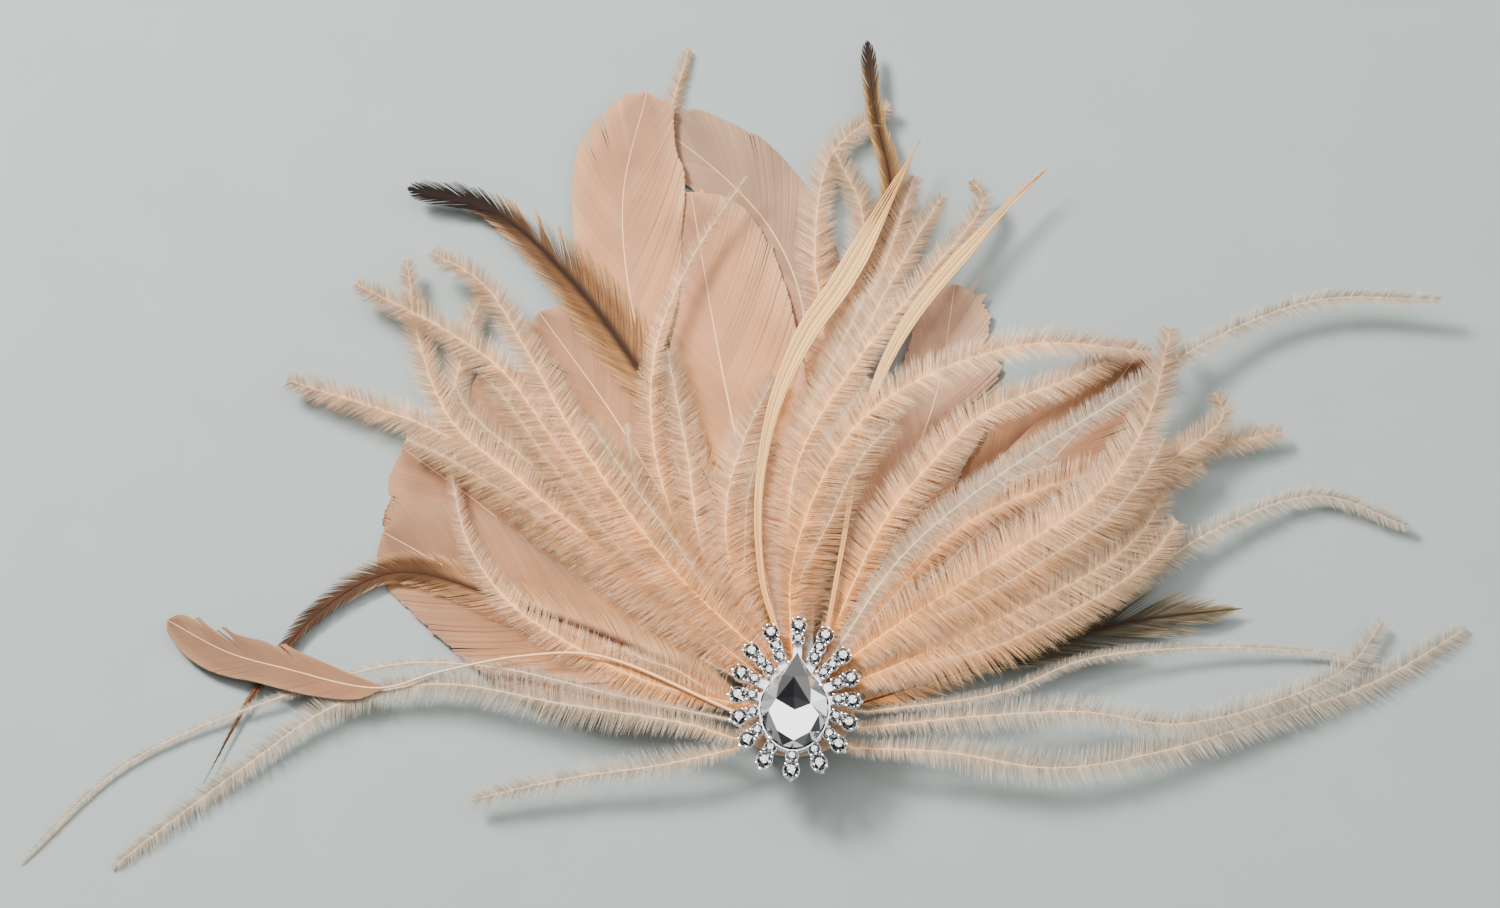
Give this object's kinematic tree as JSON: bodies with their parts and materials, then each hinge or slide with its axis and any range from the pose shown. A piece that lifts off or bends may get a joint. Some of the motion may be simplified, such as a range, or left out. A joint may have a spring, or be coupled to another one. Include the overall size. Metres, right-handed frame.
{
  "type": "feather headpiece",
  "caption": "Flapper headpiece: a fan of champagne goose, hackle and ostrich feathers gathered under a pear-stone brooch, on a hair clip.",
  "frame": {"origin": "on the flat underside of the hair clip, below the middle of the brooch", "axes": "+X across the fan, +Y up the fan from the brooch to the feather tips, +Z away from the surface it lies on"},
  "size_m": [0.3661, 0.2219, 0.0214],
  "materials": {
    "clip_steel": "satin",
    "felt": "matte felt",
    "silver": "polished, set with clear stones",
    "crystal": "clear, cut and foiled",
    "goose": "champagne goose vane, soft sheen",
    "hackle": "brown hackle with ginger edges",
    "biot": "cream biot, smooth",
    "ostrich": "pale champagne ostrich flues"
  },
  "bodies": {
    "root": {"hair_clip": "clip_steel", "backing_pad": "felt", "brooch_setting": "silver", "pear_stone": "crystal", "goose_1": "goose", "goose_2": "goose", "goose_3": "goose", "goose_4": "goose", "goose_5": "goose", "goose_6": "goose", "goose_7": "goose", "goose_8": "goose", "goose_9": "goose", "goose_10": "goose", "goose_11": "goose", "hackle_1": "hackle", "hackle_2": "hackle", "hackle_3": "hackle", "hackle_4": "hackle", "hackle_5": "hackle", "biot_1": "biot", "biot_2": "biot", "ostrich_left_1": "ostrich", "ostrich_left_2": "ostrich", "ostrich_left_3": "ostrich", "ostrich_left_4": "ostrich", "ostrich_left_5": "ostrich", "ostrich_left_6": "ostrich", "ostrich_left_7": "ostrich", "ostrich_left_8": "ostrich", "ostrich_left_9": "ostrich", "ostrich_middle_1": "ostrich", "ostrich_middle_2": "ostrich", "ostrich_middle_3": "ostrich", "ostrich_middle_4": "ostrich", "ostrich_right_1": "ostrich", "ostrich_right_2": "ostrich", "ostrich_right_3": "ostrich", "ostrich_right_4": "ostrich", "ostrich_right_5": "ostrich", "ostrich_right_6": "ostrich", "ostrich_right_7": "ostrich", "ostrich_right_8": "ostrich", "ostrich_right_9": "ostrich", "ostrich_right_10": "ostrich", "ostrich_right_11": "ostrich", "ostrich_right_12": "ostrich", "ostrich_right_13": "ostrich", "ostrich_right_14": "ostrich", "ostrich_right_15": "ostrich", "ostrich_right_16": "ostrich", "ostrich_right_17": "ostrich"}
  },
  "joints": []
}
